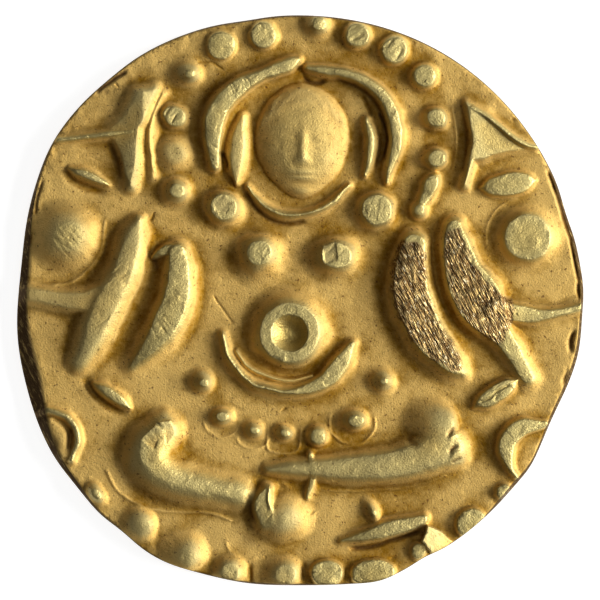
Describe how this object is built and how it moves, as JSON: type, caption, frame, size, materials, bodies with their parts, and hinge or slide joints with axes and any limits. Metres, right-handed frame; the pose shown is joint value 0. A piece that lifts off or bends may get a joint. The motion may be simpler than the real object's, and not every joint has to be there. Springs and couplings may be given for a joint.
{
  "type": "gold coin",
  "caption": "Hand-struck gold coin of hammered, slightly irregular outline, with a seated figure in bold relief on one face and rows of worn strokes on the other.",
  "frame": {"origin": "below the middle of the coin's outline, on the surface that it lies on", "axes": "+Z out of the struck face, +Y towards the top of the seated figure's head, +X to the right of someone who looks at the figure"},
  "size_m": [0.019, 0.019, 0.0012],
  "materials": {
    "gold": "worn satin gold, brown in its hollows"
  },
  "bodies": {
    "root": {"coin": "gold"}
  },
  "joints": []
}
